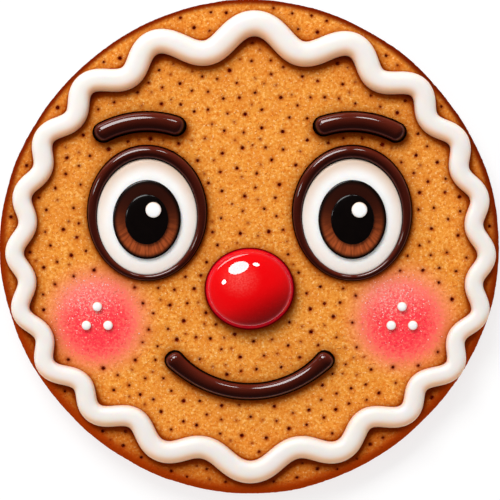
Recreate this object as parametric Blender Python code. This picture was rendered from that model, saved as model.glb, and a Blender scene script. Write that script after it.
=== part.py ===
"""A round gingerbread cookie with an iced face, lying on its back with the face up.

The biscuit is one baked disc, pricked all over with a docker. A wavy bead of white
royal icing runs round it. The face is piped and flooded icing, layer on layer, with
a red candy button for the nose. Metres, +Z up. The origin is the middle of the
underside, +Y points to the forehead and +X to the right cheek.
"""

import math
import random

import bmesh
import bpy
from mathutils import Vector

MM = 0.001

# Biscuit
BISCUIT_RADIUS = 49.7 * MM
BISCUIT_THICKNESS = 7.5 * MM
BISCUIT_SIDES = 96
SPREAD_WIDE = 0.0055
SPREAD_CORNERS = 0.0052
TOP_EDGE_WIDTH = 1.6 * MM
TOP_EDGE_DROP = 2.4 * MM
BOTTOM_EDGE = 1.3 * MM
EDGE_STEPS = 5
SMOOTH_BELOW_DEGREES = 50

# Docker pits
PIT_SEED = 12
PIT_TRIES = 6000
PIT_SPACING = 4.0 * MM
PIT_MARGIN = 1.1 * MM
PIT_RADIUS = (0.22 * MM, 0.37 * MM)
PIT_DEPTH = 1.2 * MM
PIT_TAPER = 0.45
PIT_SIDES = 6
PIN_ABOVE = 0.5 * MM

# Icing in general. Pieces that rest on each other keep a hairline gap.
GAP = 0.3 * MM
BEAD_TOP = ((-0.42, 0.0), (-0.5, 0.33), (-0.34, 0.8), (0.0, 1.0), (0.34, 0.8), (0.5, 0.33), (0.42, 0.0))
BEAD_FOOT = ((0.21, 0.0), (-0.05, 0.0))
BEAD_SECTION = BEAD_TOP + BEAD_FOOT
POOL_SECTION = ((0.0, 0.0), (0.96, 0.0), (1.0, 0.4), (0.955, 0.8), (0.86, 0.96), (0.45, 1.0), (0.0, 1.0))
POOL_SIDES = 32

# The wavy border, as harmonics of the angle round the biscuit:
# how far out it runs, how the hand wandered five and six times on the way round,
# how deep and how round its waves are, how they bunch up at the sides, and its width
WAVES = 20
RINGS_PER_WAVE = 10
BORDER_REACH = 44.37 * MM
REACH_WIDER = 1.98 * MM
REACH_RIGHT = 0.19 * MM
REACH_LOWER = 0.22 * MM
WANDER_BY_FIVE = 0.37 * MM
WANDER_BY_SIX = 0.26 * MM
WAVE_DEPTH = 1.68 * MM
DEPTH_AT_ENDS = 0.58 * MM
DEPTH_AT_TOP = 0.23 * MM
DEPTH_BY_THREE = 0.18 * MM
WAVE_ROUNDER = 0.02
WAVE_START = 0.125
WAVE_LEAN = 0.77
WAVE_RISE = 0.175
WAVE_BUNCH = 3.02
BUNCH_AT_CORNERS = 0.156
BORDER_WIDTH = 3.68 * MM
WIDTH_AT_ENDS = 1.15 * MM
WIDTH_AT_TOP = 0.3 * MM
BORDER_HEIGHT_SHARE = 0.56

# Eyes: flooded white, brown iris, dark pupil and one white dot, in a piped chocolate ring
EYE_X = 20.5 * MM
EYE_Y = 6.0 * MM
EYE_WHITE = (9.6 * MM, 11.2 * MM)
EYE_WHITE_HEIGHT = 1.3 * MM
IRIS = (6.8 * MM, 7.9 * MM)
IRIS_DROP = 0.6 * MM
IRIS_HEIGHT = 0.6 * MM
PUPIL = (4.3 * MM, 5.0 * MM)
PUPIL_HEIGHT = 0.55 * MM
GLINT_RADIUS = 1.55 * MM
GLINT_OFFSET = (1.35 * MM, 1.9 * MM)
GLINT_HEIGHT = 0.5 * MM
RING_WIDTH = 1.4 * MM
RING_THICKER_TOP = 1.5 * MM
RING_HEIGHT_SHARE = 0.7
RING_STEPS = 40

# Brows, mouth and nose
BROW_RADIUS = 19.0 * MM
BROW_SPAN = (56.0, 114.0)
BROW_WIDTH = 4.3 * MM
MOUTH_CENTRE_Y = -8.0 * MM
MOUTH_RADIUS = 21.0 * MM
MOUTH_SPAN = (-141.0, -39.0)
MOUTH_WIDTH = 3.5 * MM
MOUTH_END_SWELL = 1.2 * MM
SWELL_POWER = 6
STROKE_TIP_SHARE = 0.14
STROKE_HEIGHT_SHARE = 0.62
BROW_STEPS = 16
MOUTH_STEPS = 28
NOSE_CENTRE = (0.0, -8.4 * MM)
NOSE = (9.0 * MM, 8.2 * MM)
NOSE_HEIGHT = 6.0 * MM
NOSE_RINGS = 8
NOSE_FOOT = ((0.0, 0.0), (0.86, 0.0), (0.97, 0.12))
NOSE_WAIST = 0.28

# Cheeks: three piped dots on each
CHEEK_CENTRE = (30.5 * MM, -14.5 * MM)
CHEEK_BARE_RADIUS = 9.6 * MM
CHEEK_DOTS = 3
CHEEK_DOT_REACH = 2.5 * MM
CHEEK_DOT_RADIUS = 0.95 * MM
CHEEK_DOT_HEIGHT = 0.8 * MM

# Sides of the small round pieces
PUPIL_SIDES = 24
GLINT_SIDES = 16
CHEEK_DOT_SIDES = 12

SIDES = (("left", -1), ("right", 1))


def clear_scene():
    for old in list(bpy.data.objects):
        bpy.data.objects.remove(old)


def material(name, colour, roughness):
    made = bpy.data.materials.new(name)
    made.use_nodes = True
    shader = made.node_tree.nodes["Principled BSDF"]
    shader.inputs["Base Color"].default_value = (*colour, 1.0)
    shader.inputs["Roughness"].default_value = roughness
    shader.inputs["Metallic"].default_value = 0.0
    return made


def add_object(name, shape, finish):
    """Turns a bmesh into a named object, with its faces pointing out."""
    bmesh.ops.recalc_face_normals(shape, faces=shape.faces)
    mesh = bpy.data.meshes.new(name)
    shape.to_mesh(mesh)
    shape.free()
    mesh.materials.append(finish)
    mesh.shade_smooth()
    mesh.set_sharp_from_angle(angle=math.radians(SMOOTH_BELOW_DEGREES))
    made = bpy.data.objects.new(name, mesh)
    bpy.context.scene.collection.objects.link(made)
    return made


def biscuit_reach(angle):
    """Radius of the baked disc at an angle: it spread a little more to the sides than up and down."""
    spread = SPREAD_WIDE * math.cos(2 * angle) + SPREAD_CORNERS * math.cos(4 * angle)
    return BISCUIT_RADIUS * (1 + spread)


def top_height(x, y):
    """Height of the biscuit's top at a point: flat, then rolling over near the edge."""
    to_edge = biscuit_reach(math.atan2(y, x)) - math.hypot(x, y)
    share = min(max(1 - to_edge / TOP_EDGE_WIDTH, 0.0), 1.0)
    return BISCUIT_THICKNESS - TOP_EDGE_DROP * (1 - math.sqrt(1 - share * share))


def biscuit_section():
    """The edge's cross-section, from underneath to the top, as (distance in from the edge, height)."""
    points = []
    for step in range(EDGE_STEPS):
        turn = math.radians(90) * step / (EDGE_STEPS - 1)
        points.append((BOTTOM_EDGE * (1 - math.sin(turn)), BOTTOM_EDGE * (1 - math.cos(turn))))
    for step in range(EDGE_STEPS + 1):
        turn = math.radians(90) * step / EDGE_STEPS
        inset = TOP_EDGE_WIDTH * (1 - math.cos(turn))
        points.append((inset, BISCUIT_THICKNESS - TOP_EDGE_DROP * (1 - math.sin(turn))))
    return points


def ring_of_vertices(shape, points):
    return [shape.verts.new(point) for point in points]


def skin_rings(shape, rings, closed):
    """Joins neighbouring rings of equal length with quads."""
    pairs = list(zip(rings, rings[1:]))
    if closed:
        pairs.append((rings[-1], rings[0]))
    for first, second in pairs:
        for a in range(len(first)):
            b = (a + 1) % len(first)
            shape.faces.new((first[a], first[b], second[b], second[a]))


def make_biscuit(pits):
    shape = bmesh.new()
    rings = []
    for inset, height in biscuit_section():
        points = []
        for side in range(BISCUIT_SIDES):
            angle = math.tau * side / BISCUIT_SIDES
            reach = biscuit_reach(angle) - inset
            points.append((reach * math.cos(angle), reach * math.sin(angle), height))
        rings.append(ring_of_vertices(shape, points))
    skin_rings(shape, rings, closed=False)
    shape.faces.new(rings[0])
    shape.faces.new(rings[-1])
    biscuit = add_object("biscuit", shape, material("baked_gingerbread", (0.72, 0.26, 0.045), 0.8))
    prick(biscuit, pits)
    return biscuit


def prick(biscuit, pits):
    """Presses tapered docking pins into the top. A pin reaches above it, so that it cuts cleanly."""
    shape = bmesh.new()
    length = PIT_DEPTH + PIN_ABOVE
    middle = BISCUIT_THICKNESS + PIN_ABOVE - length / 2
    for x, y, radius in pits:
        tip = radius * PIT_TAPER
        head = tip + (radius - tip) * length / PIT_DEPTH
        placed = bmesh.ops.create_cone(
            shape, cap_ends=True, segments=PIT_SIDES, radius1=tip, radius2=head, depth=length
        )
        bmesh.ops.translate(shape, verts=placed["verts"], vec=(x, y, middle))
    pins = add_object("docking_pins", shape, material("pins", (0.5, 0.5, 0.5), 0.5))
    pins.hide_render = True
    pins.display_type = "WIRE"
    cut = biscuit.modifiers.new("Docker pits", "BOOLEAN")
    cut.operation = "DIFFERENCE"
    cut.solver = "EXACT"
    cut.object = pins


def border_point(angle):
    """Centreline of the wavy border at an angle, and its width there."""
    ends = math.cos(2 * angle)
    up = math.sin(angle)
    reach = BORDER_REACH + REACH_WIDER * ends + REACH_RIGHT * math.cos(angle) - REACH_LOWER * up
    reach -= WANDER_BY_FIVE * math.sin(5 * angle) + WANDER_BY_SIX * math.cos(6 * angle)
    depth = WAVE_DEPTH - DEPTH_AT_ENDS * ends + DEPTH_AT_TOP * up - DEPTH_BY_THREE * math.sin(3 * angle)
    phase = WAVES * angle + WAVE_START + WAVE_LEAN * math.cos(angle) + WAVE_RISE * up
    phase += WAVE_BUNCH * math.sin(2 * angle) - BUNCH_AT_CORNERS * math.sin(4 * angle)
    reach += depth * (math.cos(phase) - WAVE_ROUNDER * math.cos(3 * phase))
    width = BORDER_WIDTH + WIDTH_AT_ENDS * (1 - ends) / 2 + WIDTH_AT_TOP * up
    return reach * math.cos(angle), reach * math.sin(angle), width


def border_path():
    steps = WAVES * RINGS_PER_WAVE
    return [border_point(math.tau * step / steps) for step in range(steps)]


def arc_path(centre, radius, span, steps, width, end_swell=0.0):
    """A piped arc with round ends, as (x, y, width). The ends swell where the tip starts and stops."""
    start, stop = (math.radians(angle) for angle in span)
    length = radius * (stop - start)
    path = []
    for step in range(steps + 1):
        # Steps crowd together towards both ends, to round them off
        share = (1 - math.cos(math.pi * step / steps)) / 2
        full = width + end_swell * abs(2 * share - 1) ** SWELL_POWER
        to_end = min(share, 1 - share) * length
        cap = (width + end_swell) / 2
        inside = min(to_end / cap, 1.0)
        local = full * max(math.sqrt(1 - (1 - inside) ** 2), STROKE_TIP_SHARE)
        angle = start + (stop - start) * share
        path.append((centre[0] + radius * math.cos(angle), centre[1] + radius * math.sin(angle), local))
    return path


def bead_rings(shape, path, height_share, closed):
    """Sweeps the bead's section along a path of (x, y, width), its foot following the biscuit's top."""
    rings = []
    count = len(path)
    for index, (x, y, width) in enumerate(path):
        before = path[index - 1] if closed or index else path[0]
        after = path[(index + 1) % count] if closed or index < count - 1 else path[-1]
        along = Vector((after[0] - before[0], after[1] - before[1])).normalized()
        points = []
        for offset, rise in BEAD_SECTION:
            px = x + along.y * offset * width
            py = y - along.x * offset * width
            height = top_height(px, py) + GAP + rise * width * height_share
            points.append((px, py, height))
        rings.append(ring_of_vertices(shape, points))
    return rings


def make_bead(name, path, height_share, closed, finish):
    shape = bmesh.new()
    rings = bead_rings(shape, path, height_share, closed)
    skin_rings(shape, rings, closed)
    if not closed:
        shape.faces.new(rings[0])
        shape.faces.new(rings[-1])
    return add_object(name, shape, finish)


def make_pool(name, centre, half_size, base, height, finish, section=POOL_SECTION, sides=POOL_SIDES):
    """A flooded, domed patch of icing: its section spun round an upright axis and stretched."""
    shape = bmesh.new()
    profile = [shape.verts.new((reach, 0.0, rise)) for reach, rise in section]
    edges = [shape.edges.new(pair) for pair in zip(profile, profile[1:])]
    bmesh.ops.spin(
        shape,
        geom=profile + edges,
        cent=(0, 0, 0),
        axis=(0, 0, 1),
        angle=math.tau,
        steps=sides,
        use_merge=True,
    )
    bmesh.ops.remove_doubles(shape, verts=shape.verts, dist=1e-6)
    bmesh.ops.scale(shape, verts=shape.verts, vec=(half_size[0], half_size[1], height))
    bmesh.ops.translate(shape, verts=shape.verts, vec=(centre[0], centre[1], base))
    return add_object(name, shape, finish)


def eye_ring_path(centre):
    """The chocolate ring just outside the white, piped heavier over the top."""
    path = []
    for step in range(RING_STEPS):
        angle = math.tau * step / RING_STEPS
        width = RING_WIDTH + RING_THICKER_TOP * (1 + math.sin(angle)) / 2
        reach = [half + GAP + width / 2 for half in EYE_WHITE]
        x = centre[0] + reach[0] * math.cos(angle)
        y = centre[1] + reach[1] * math.sin(angle)
        path.append((x, y, width))
    return path


def eye_centre(sign):
    return sign * EYE_X, EYE_Y


def brow_path(sign):
    """The same arch over each eye, mirrored."""
    span = BROW_SPAN if sign > 0 else tuple(180.0 - angle for angle in reversed(BROW_SPAN))
    return arc_path(eye_centre(sign), BROW_RADIUS, span, BROW_STEPS, BROW_WIDTH)


def mouth_path():
    centre = (0.0, MOUTH_CENTRE_Y)
    return arc_path(centre, MOUTH_RADIUS, MOUTH_SPAN, MOUTH_STEPS, MOUTH_WIDTH, MOUTH_END_SWELL)


def make_eye(side, sign, white, brown, black, chocolate):
    centre = eye_centre(sign)
    middle = (centre[0], centre[1] - IRIS_DROP)
    base = BISCUIT_THICKNESS + GAP
    make_bead(f"eye_ring_{side}", eye_ring_path(centre), RING_HEIGHT_SHARE, True, chocolate)
    make_pool(f"eye_white_{side}", centre, EYE_WHITE, base, EYE_WHITE_HEIGHT, white)
    base += EYE_WHITE_HEIGHT + GAP
    make_pool(f"iris_{side}", middle, IRIS, base, IRIS_HEIGHT, brown)
    base += IRIS_HEIGHT + GAP
    make_pool(f"pupil_{side}", middle, PUPIL, base, PUPIL_HEIGHT, black, sides=PUPIL_SIDES)
    base += PUPIL_HEIGHT + GAP
    spot = (middle[0] + GLINT_OFFSET[0], middle[1] + GLINT_OFFSET[1])
    size = (GLINT_RADIUS, GLINT_RADIUS)
    make_pool(f"glint_{side}", spot, size, base, GLINT_HEIGHT, white, sides=GLINT_SIDES)


def nose_section():
    """A candy button: it tucks in under its widest line and is domed above it."""
    points = list(NOSE_FOOT)
    for ring in range(NOSE_RINGS):
        turn = math.radians(90) * ring / NOSE_RINGS
        points.append((math.cos(turn), NOSE_WAIST + (1 - NOSE_WAIST) * math.sin(turn)))
    points.append((0.0, 1.0))
    return points


def make_nose():
    red = material("red_candy", (0.78, 0.005, 0.008), 0.12)
    base = BISCUIT_THICKNESS + GAP
    return make_pool("nose", NOSE_CENTRE, NOSE, base, NOSE_HEIGHT, red, section=nose_section())


def cheek_dot_places(sign):
    """Three dots in a triangle on the cheek."""
    places = []
    for dot in range(CHEEK_DOTS):
        angle = math.radians(90) + math.tau * dot / CHEEK_DOTS
        x = sign * CHEEK_CENTRE[0] + CHEEK_DOT_REACH * math.cos(angle)
        places.append((x, CHEEK_CENTRE[1] + CHEEK_DOT_REACH * math.sin(angle)))
    return places


def make_cheek_dots(side, sign, white):
    size = (CHEEK_DOT_RADIUS, CHEEK_DOT_RADIUS)
    base = BISCUIT_THICKNESS + GAP
    for number, place in enumerate(cheek_dot_places(sign), start=1):
        name = f"cheek_dot_{side}_{number}"
        make_pool(name, place, size, base, CHEEK_DOT_HEIGHT, white, sides=CHEEK_DOT_SIDES)


def inside_oval(x, y, centre, half_size, margin):
    across = (x - centre[0]) / (half_size[0] + margin)
    along = (y - centre[1]) / (half_size[1] + margin)
    return across * across + along * along < 1


def under_topping(x, y, beads):
    """True where a pit would lie under or against the icing, the nose or the blushed cheeks."""
    ring = RING_WIDTH + RING_THICKER_TOP + GAP
    for _, sign in SIDES:
        if inside_oval(x, y, eye_centre(sign), EYE_WHITE, ring + PIT_MARGIN):
            return True
        cheek = (sign * CHEEK_CENTRE[0], CHEEK_CENTRE[1])
        if inside_oval(x, y, cheek, (CHEEK_BARE_RADIUS, CHEEK_BARE_RADIUS), 0.0):
            return True
    if inside_oval(x, y, NOSE_CENTRE, NOSE, PIT_MARGIN):
        return True
    return any(math.hypot(x - bx, y - by) < width / 2 + PIT_MARGIN for bx, by, width in beads)


def docker_pits():
    """Pits as (x, y, radius): scattered evenly over what the toppings leave bare, the same each time."""
    dice = random.Random(PIT_SEED)
    beads = border_path() + mouth_path() + brow_path(-1) + brow_path(1)
    pits = []
    for _ in range(PIT_TRIES):
        x = dice.uniform(-BISCUIT_RADIUS, BISCUIT_RADIUS)
        y = dice.uniform(-BISCUIT_RADIUS, BISCUIT_RADIUS)
        radius = dice.uniform(*PIT_RADIUS)
        to_edge = biscuit_reach(math.atan2(y, x)) - math.hypot(x, y)
        if to_edge < TOP_EDGE_WIDTH + radius or under_topping(x, y, beads):
            continue
        if all(math.hypot(x - px, y - py) > PIT_SPACING for px, py, _ in pits):
            pits.append((x, y, radius))
    return pits


def main():
    clear_scene()
    white = material("white_royal_icing", (0.93, 0.9, 0.86), 0.35)
    chocolate = material("chocolate_icing", (0.05, 0.012, 0.006), 0.2)
    brown = material("brown_icing", (0.25, 0.055, 0.018), 0.25)
    black = material("black_icing", (0.006, 0.004, 0.004), 0.2)
    make_biscuit(docker_pits())
    make_bead("border", border_path(), BORDER_HEIGHT_SHARE, True, white)
    for side, sign in SIDES:
        make_eye(side, sign, white, brown, black, chocolate)
        make_bead(f"brow_{side}", brow_path(sign), STROKE_HEIGHT_SHARE, False, chocolate)
        make_cheek_dots(side, sign, white)
    make_bead("mouth", mouth_path(), STROKE_HEIGHT_SHARE, False, chocolate)
    make_nose()


main()
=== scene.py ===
# %% [markdown]
# # An iced gingerbread face, baked and decorated in Blender
#
# One round of rolled gingerbread, pricked with a docker, baked and iced. The packed
# model says where every piece sits. These cells give each piece its true surface: crumb,
# pits, browning, soft beads of icing, and light that shows them.

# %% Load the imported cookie
import math
import random

import bpy
import numpy as np
from mathutils import Euler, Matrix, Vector, noise


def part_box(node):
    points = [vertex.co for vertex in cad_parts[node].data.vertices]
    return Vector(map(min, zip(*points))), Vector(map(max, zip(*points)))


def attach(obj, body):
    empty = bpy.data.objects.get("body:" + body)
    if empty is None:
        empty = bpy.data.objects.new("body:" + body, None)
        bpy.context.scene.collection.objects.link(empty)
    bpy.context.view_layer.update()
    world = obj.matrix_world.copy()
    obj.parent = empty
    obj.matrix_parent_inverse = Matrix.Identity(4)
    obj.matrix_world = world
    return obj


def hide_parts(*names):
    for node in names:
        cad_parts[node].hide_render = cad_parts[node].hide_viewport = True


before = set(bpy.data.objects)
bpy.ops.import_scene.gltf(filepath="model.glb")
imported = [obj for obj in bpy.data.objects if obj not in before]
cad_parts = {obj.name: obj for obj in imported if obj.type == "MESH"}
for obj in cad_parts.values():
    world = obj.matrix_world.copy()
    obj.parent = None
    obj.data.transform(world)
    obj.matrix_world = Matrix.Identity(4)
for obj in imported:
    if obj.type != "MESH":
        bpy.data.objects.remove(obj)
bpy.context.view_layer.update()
bpy.ops.object.select_all(action="DESELECT")
MM = 0.001

# %% [markdown]
# ## Camera
#
# The cookie lies on its back and we look straight down on it, so the top of the picture
# is +Y. A long lens keeps the rim round and the nose from bulging. The picture is about
# 100.6 mm wide at the rim, and the cookie sits a little above its middle.

# %% Camera
PICTURE_WIDTH = 100.6 * MM
PICTURE_CENTRE = (0.08 * MM, -0.68 * MM)
RIM_LEVEL = 5.0 * MM
LENS = 200.0

bpy.ops.object.camera_add(rotation=(0, 0, 0))
camera = bpy.context.object
camera.data.lens = LENS
camera.data.clip_start = 0.01
distance = PICTURE_WIDTH * LENS / camera.data.sensor_width
camera.location = (*PICTURE_CENTRE, RIM_LEVEL + distance)
bpy.context.scene.camera = camera
print("camera is", round(distance, 3), "m above the rim")

# %% [markdown]
# ## Floor and lamps
#
# A biscuit needs little: a white table, a pale sky and one softbox above the forehead, a
# little to the left. It lights the upper side of each bead, throws a short soft shadow
# below it, and draws the oval highlight on the nose. Two small lamps and a low strip add
# little light. They draw the nose's two dots and its thin arc.

# %% Floor and lamps
FLOOR_SIZE = 4.0
LAMP_DISTANCE = 0.95
LAMPS = {
    "softbox": ((-0.27, 0.59, 0.76), (0.50, 0.46), 5.35),
    "dot_right": ((0.154, 0.665, 0.73), (0.15, 0.15), 0.6),
    "dot_left": ((-0.606, 0.174, 0.775), (0.14, 0.14), 0.6),
    "low_strip": ((-0.46, 0.85, 0.25), (0.95, 0.12), 1.1),
}

bpy.ops.mesh.primitive_plane_add(size=FLOOR_SIZE)
floor = bpy.context.object
floor.name = "table_top"

for name, (towards, size, power) in LAMPS.items():
    towards = Vector(towards).normalized()
    bpy.ops.object.light_add(type="AREA", location=towards * LAMP_DISTANCE)
    lamp = bpy.context.object
    lamp.name = name
    lamp.data.shape = "ELLIPSE"
    lamp.data.size, lamp.data.size_y = size
    lamp.data.energy = power
    lamp.rotation_euler = towards.to_track_quat("Z", "Y").to_euler()
    print(name, size, "m,", power, "W")
bpy.context.scene.view_settings.view_transform = "Standard"

# %% [markdown]
# ## Small helpers for materials
#
# A finish is built from a few steps: a noise turned into a mask, a colour laid over
# another through that mask, and a bump. Written once, they keep each recipe short. Every
# pattern reads Object coordinates, so it stays put on the piece from any side.

# %% Helpers for materials
def srgb(red, green, blue):
    """A picture colour, 0 to 255, as the linear colour that a shader wants."""
    linear = [((c / 255 + 0.055) / 1.055) ** 2.4 if c > 10 else c / 255 / 12.92 for c in (red, green, blue)]
    return (*linear, 1.0)


def grey(level):
    return (level, level, level, 1.0)


def set_inputs(node, values):
    for name, value in values.items():
        node.inputs[name].default_value = value


def start_material(name, roughness, specular=0.5):
    made = bpy.data.materials.new(name)
    made.use_nodes = True
    shader = made.node_tree.nodes["Principled BSDF"]
    set_inputs(shader, {"Roughness": roughness, "Specular IOR Level": specular})
    return made, made.node_tree, shader


def scatter(shader, weight, radius, depth):
    """Light goes in and comes out again up to a depth away, in metres, tinted by the radius."""
    set_inputs(shader, {"Subsurface Weight": weight, "Subsurface Radius": radius, "Subsurface Scale": depth})


def object_place(tree, scale=(1, 1, 1), centre=(0, 0, 0)):
    """Object coordinates, centred on a point and stretched."""
    place = tree.nodes.new("ShaderNodeTexCoord")
    mapping = tree.nodes.new("ShaderNodeMapping")
    set_inputs(mapping, {"Location": [-c * s for c, s in zip(centre, scale)], "Scale": scale})
    tree.links.new(place.outputs["Object"], mapping.inputs["Vector"])
    return mapping.outputs["Vector"]


def split(tree, vector):
    """The X, Y and Z of a vector."""
    node = tree.nodes.new("ShaderNodeSeparateXYZ")
    tree.links.new(vector, node.inputs["Vector"])
    return node.outputs


def distance_from(tree, place, point=(0, 0, 0)):
    node = tree.nodes.new("ShaderNodeVectorMath")
    node.operation = "DISTANCE"
    tree.links.new(place, node.inputs[0])
    node.inputs[1].default_value = point
    return node.outputs["Value"]


def ramp(tree, value, low, high, to_low=0.0, to_high=1.0, between="SMOOTHSTEP"):
    """Turns a value into a mask: to_low at low, to_high at high, eased or straight between them."""
    node = tree.nodes.new("ShaderNodeMapRange")
    node.interpolation_type = between
    tree.links.new(value, node.inputs["Value"])
    set_inputs(node, {"From Min": low, "From Max": high, "To Min": to_low, "To Max": to_high})
    return node.outputs["Result"]


def grain(tree, size, detail=2.0, roughness=0.5, place=None):
    """Noise with lumps of a given size in metres."""
    node = tree.nodes.new("ShaderNodeTexNoise")
    set_inputs(node, {"Scale": 1.0 / size, "Detail": detail, "Roughness": roughness})
    tree.links.new(place or object_place(tree), node.inputs["Vector"])
    return node.outputs["Fac"]


def painted(tree, name):
    """A value that was painted on the mesh."""
    node = tree.nodes.new("ShaderNodeAttribute")
    node.attribute_name = name
    return node.outputs["Fac"]


def calculate(tree, operation, first, second):
    node = tree.nodes.new("ShaderNodeMath")
    node.operation = operation
    for socket, value in zip(node.inputs, (first, second)):
        if isinstance(value, float):
            socket.default_value = value
        else:
            tree.links.new(value, socket)
    return node.outputs["Value"]


def lay_over(tree, mask, below, above, blend="MIX"):
    """Lays one colour over another where the mask is 1. A colour is a value or another node's."""
    node = tree.nodes.new("ShaderNodeMix")
    node.data_type = "RGBA"
    node.blend_type = blend
    sockets = {socket.identifier: socket for socket in node.inputs}
    tree.links.new(mask, sockets["Factor_Float"])
    for key_name, colour in (("A_Color", below), ("B_Color", above)):
        if isinstance(colour, tuple):
            sockets[key_name].default_value = colour
        else:
            tree.links.new(colour, sockets[key_name])
    return {socket.identifier: socket for socket in node.outputs}["Result_Color"]


def layers(tree, tone, *coats):
    """Lays one coat after another over a tone. A coat is a mask and a colour."""
    for mask, colour in coats:
        tone = lay_over(tree, mask, tone, colour)
    return tone


def tint_crumb(tree, mask, below, shade):
    """Tints the crumb towards a colour, for browning or painted shade. It keeps the grain."""
    tint = tuple(part / gold for part, gold in zip(shade, CRUMB_GOLD))
    return lay_over(tree, mask, below, tint, "MULTIPLY")


def set_surface(tree, shader, tone, height, depth, strength):
    """Sets the colour, and a bump for relief too fine for the mesh. depth is in metres."""
    tree.links.new(tone, shader.inputs["Base Color"])
    node = tree.nodes.new("ShaderNodeBump")
    set_inputs(node, {"Strength": strength, "Distance": depth})
    tree.links.new(height, node.inputs["Height"])
    tree.links.new(node.outputs["Normal"], shader.inputs["Normal"])


# %% [markdown]
# ## Sky and table
#
# On dull surfaces, such as crumb, the sky is an even fill. A gloss mirrors it, and under
# a white one the chocolate would look grey. So a glossy ray meets a dark sky, as when a
# studio hangs a black cloth over the camera, with a pale band just above the horizon
# that draws a fine light line along each glossy edge. The table glows a little, so that
# its shadow stays pale.

# %% The sky
SKY_FILL = grey(0.5)
SKY_SEEN = grey(0.85)
GLOSS_HORIZON = grey(0.16)
GLOSS_SKY_LOW = grey(0.045)
GLOSS_SKY_OVERHEAD = grey(0.022)
HORIZON_FULL, HORIZON_GONE = 0.05, 0.3
OVERHEAD_FROM, OVERHEAD_FULL = 0.35, 0.9

world = bpy.data.worlds.new("pale_sky")
world.use_nodes = True
sky = world.node_tree
direction = sky.nodes.new("ShaderNodeTexCoord")
height = split(sky, direction.outputs["Generated"])["Z"]
ray = sky.nodes.new("ShaderNodeLightPath")
overhead = ramp(sky, height, OVERHEAD_FROM, OVERHEAD_FULL)
horizon = ramp(sky, height, HORIZON_GONE, HORIZON_FULL)
mirrored = layers(sky, GLOSS_SKY_LOW, (overhead, GLOSS_SKY_OVERHEAD), (horizon, GLOSS_HORIZON))
shade = lay_over(sky, ray.outputs["Is Glossy Ray"], SKY_FILL, mirrored)
shade = lay_over(sky, ray.outputs["Is Camera Ray"], shade, SKY_SEEN)
sky.links.new(shade, sky.nodes["Background"].inputs["Color"])
bpy.context.scene.world = world
print("the sky fills with", SKY_FILL[0])

# %% The table's finish
TABLE_GLOW = 0.72

table_finish, tree, shader = start_material("lit_white_table", 0.9, 0.1)
table_tone = lay_over(tree, grain(tree, 0.02), srgb(150, 150, 150), srgb(156, 156, 156))
tree.links.new(table_tone, shader.inputs["Base Color"])
set_inputs(shader, {"Emission Color": grey(1.0), "Emission Strength": TABLE_GLOW})
floor.data.materials.append(table_finish)
print("made", table_finish.name)

# %% [markdown]
# ## Where the icing runs
#
# The bead is swept along its own line, the fine pricks keep out of its way, and the
# biscuit is painted darker close to it, as painted shade. So the icing's lines come
# first, as points with a width.
# They are the same curves that the solid model was made from.

# %% The biscuit's outline
BISCUIT_RADIUS = 49.7 * MM
TOP = 7.5 * MM
SPREAD_WIDE = 0.0055
SPREAD_CORNERS = 0.0052
TOP_EDGE_WIDTH = 1.6 * MM
TOP_EDGE_DROP = 2.4 * MM
BOTTOM_EDGE = 1.3 * MM
GAP = 0.3 * MM


def outline_stretch(angle):
    """How much further than a circle the dough spread at an angle."""
    return 1 + SPREAD_WIDE * np.cos(2 * angle) + SPREAD_CORNERS * np.cos(4 * angle)


def distance_to_rim(x, y):
    return BISCUIT_RADIUS * outline_stretch(np.arctan2(y, x)) - np.hypot(x, y)


def top_height(x, y):
    """Height of the biscuit's top: flat, then rolling over near the edge."""
    share = np.clip(1 - distance_to_rim(x, y) / TOP_EDGE_WIDTH, 0.0, 1.0)
    return TOP - TOP_EDGE_DROP * (1 - np.sqrt(1 - share * share))


print("rim to rim in mm:", round(2 * BISCUIT_RADIUS * outline_stretch(0.0) / MM, 1))

# %% The border's line
WAVES = 20
POINTS_PER_WAVE = 30
BORDER_REACH = 44.37 * MM
REACH_WIDER = 1.98 * MM
REACH_RIGHT = 0.19 * MM
REACH_LOWER = 0.22 * MM
WANDER_BY_FIVE = 0.37 * MM
WANDER_BY_SIX = 0.26 * MM
WAVE_DEPTH = 1.68 * MM
DEPTH_AT_ENDS = 0.58 * MM
DEPTH_AT_TOP = 0.23 * MM
DEPTH_BY_THREE = 0.18 * MM
WAVE_ROUNDER = 0.02
WAVE_START = 0.125
WAVE_LEAN = 0.77
WAVE_RISE = 0.175
WAVE_BUNCH = 3.02
BUNCH_AT_CORNERS = 0.156
BORDER_WIDTH = 3.68 * MM
WIDTH_AT_ENDS = 1.15 * MM
WIDTH_AT_TOP = 0.3 * MM
HAND_WIDTH = 0.1 * MM
HAND_WANDER = 0.06 * MM
HAND_PACE = 3.0


def hand_tremor(angle, seed):
    """A slow, smooth unevenness from -1 to 1 that closes on itself round the cookie."""
    return noise.noise(Vector((HAND_PACE * math.cos(angle), HAND_PACE * math.sin(angle), seed)))


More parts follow.
